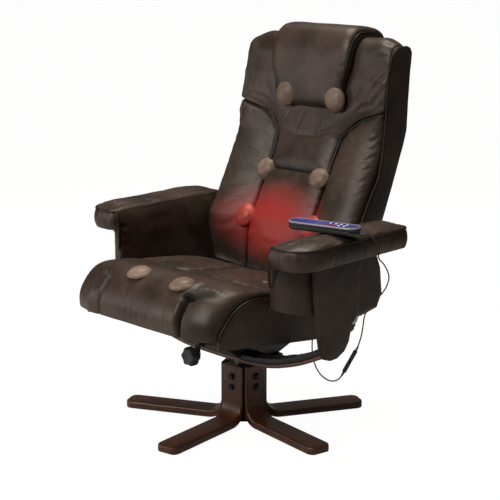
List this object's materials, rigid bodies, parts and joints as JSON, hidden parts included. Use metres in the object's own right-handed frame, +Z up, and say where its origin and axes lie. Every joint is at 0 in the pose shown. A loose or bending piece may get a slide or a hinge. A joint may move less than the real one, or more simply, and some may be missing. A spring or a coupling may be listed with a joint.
{
  "type": "reclining swivel massage armchair",
  "caption": "Reclining swivel armchair in dark padded leather on a star base of bent wood, with sliding seat, tension knob and a corded massage handset on one arm.",
  "frame": {"origin": "on the floor, on the swivel axis, at the centre of the round foot under the hub post", "axes": "+Z up along the swivel axis; the chair faces -Y; +X towards the arm that carries the handset"},
  "size_m": [0.8336, 0.7603, 1.0381],
  "materials": {
    "leg_wood": "dark brown lacquer, satin",
    "black_steel": "black semi-gloss paint",
    "bolt_black": "black oxide",
    "glide_rubber": "matte",
    "bare_steel": "zinc plated",
    "panel_leather": "dark brown, smooth, semi-matte",
    "pad_leather": "dark brown, soft, satin",
    "knob_plastic": "dark grey",
    "black_plastic": "fine texture",
    "plywood": "raw plywood",
    "motor_plastic": "moulded",
    "heater_mat": "woven heating mat",
    "rim_plastic": "silver paint",
    "panel_plastic": "blue, glossy",
    "key_white": "white",
    "key_red": "red",
    "cord_rubber": "black, matte"
  },
  "bodies": {
    "base": {"leg_1": "leg_wood", "leg_2": "leg_wood", "leg_3": "leg_wood", "leg_4": "leg_wood", "leg_5": "leg_wood", "hub_post": "black_steel", "leg_bolts": "bolt_black", "foot_glides": "glide_rubber", "thrust_bearing": "bare_steel"},
    "swivel": {"spindle": "bare_steel", "mechanism_frame": "black_steel", "crossbar": "black_steel", "slide_rails": "bare_steel", "recline_pins": "bare_steel", "arm_uprights": "black_steel", "arm_studs": "bare_steel", "arm_box_left": "panel_leather", "arm_box_right": "panel_leather", "arm_leaf_left": "panel_leather", "arm_leaf_right": "panel_leather", "arm_pad_left": "pad_leather", "arm_pad_right": "pad_leather", "control_box": "black_plastic", "handset_casing": "black_plastic", "handset_rim": "rim_plastic", "handset_panel": "panel_plastic", "cord_to_handset": "cord_rubber", "cord_connector": "cord_rubber", "cord_to_seat": "cord_rubber"},
    "seat": {"seat_runners": "bare_steel", "seat_battens": "plywood", "seat_board": "plywood", "seat_side_left": "panel_leather", "seat_side_right": "panel_leather", "seat_motors": "motor_plastic", "seat_cushion": "pad_leather"},
    "back": {"back_side_left": "panel_leather", "back_side_right": "panel_leather", "back_rear_panel": "panel_leather", "back_slats": "plywood", "hinge_plates": "bare_steel", "lumbar_heater": "heater_mat", "lumbar_motors": "motor_plastic", "middle_motors": "motor_plastic", "head_motors": "motor_plastic", "lower_pad": "pad_leather", "upper_pad": "pad_leather", "bolster_left": "pad_leather", "bolster_right": "pad_leather", "headrest": "pad_leather"},
    "knob": {"knob": "knob_plastic", "knob_screw": "bare_steel"},
    "key_1": {"key_1": "key_red"},
    "key_2": {"key_2": "key_white"},
    "key_3": {"key_3": "key_red"},
    "key_4": {"key_4": "key_white"},
    "key_5": {"key_5": "key_white"},
    "key_6": {"key_6": "key_white"},
    "key_7": {"key_7": "key_white"},
    "key_8": {"key_8": "key_white"}
  },
  "joints": [
    {"name": "swivel_turn", "type": "hinge", "parent": "base", "child": "swivel", "pos_m": [0, 0, 0.1], "axis": [0, 0, 1], "continuous": true},
    {"name": "back_recline", "type": "hinge", "parent": "swivel", "child": "back", "pos_m": [0, 0.15, 0.3], "axis": [-1, 0, 0], "range_deg": [0, 30]},
    {"name": "seat_glide", "type": "slide", "parent": "swivel", "child": "seat", "axis": [0, -0.9925, 0.1219], "range_m": [0, 0.0401]},
    {"name": "knob_turn", "type": "hinge", "parent": "swivel", "child": "knob", "pos_m": [0, -0.19, 0.215], "axis": [0, -1, 0], "continuous": true},
    {"name": "key_1_press", "type": "slide", "parent": "swivel", "child": "key_1", "axis": [0, 0, -1], "range_m": [0, 0.0008], "stiffness_N_per_m": 400},
    {"name": "key_2_press", "type": "slide", "parent": "swivel", "child": "key_2", "axis": [0, 0, -1], "range_m": [0, 0.0008], "stiffness_N_per_m": 400},
    {"name": "key_3_press", "type": "slide", "parent": "swivel", "child": "key_3", "axis": [0, 0, -1], "range_m": [0, 0.0008], "stiffness_N_per_m": 400},
    {"name": "key_4_press", "type": "slide", "parent": "swivel", "child": "key_4", "axis": [0, 0, -1], "range_m": [0, 0.0008], "stiffness_N_per_m": 400},
    {"name": "key_5_press", "type": "slide", "parent": "swivel", "child": "key_5", "axis": [0, 0, -1], "range_m": [0, 0.0008], "stiffness_N_per_m": 400},
    {"name": "key_6_press", "type": "slide", "parent": "swivel", "child": "key_6", "axis": [0, 0, -1], "range_m": [0, 0.0008], "stiffness_N_per_m": 400},
    {"name": "key_7_press", "type": "slide", "parent": "swivel", "child": "key_7", "axis": [0, 0, -1], "range_m": [0, 0.0008], "stiffness_N_per_m": 400},
    {"name": "key_8_press", "type": "slide", "parent": "swivel", "child": "key_8", "axis": [0, 0, -1], "range_m": [0, 0.0008], "stiffness_N_per_m": 400}
  ],
  "couplings": [
    {"joint": "seat_glide", "follows": "back_recline", "m_per_rad": 0.0764}
  ]
}
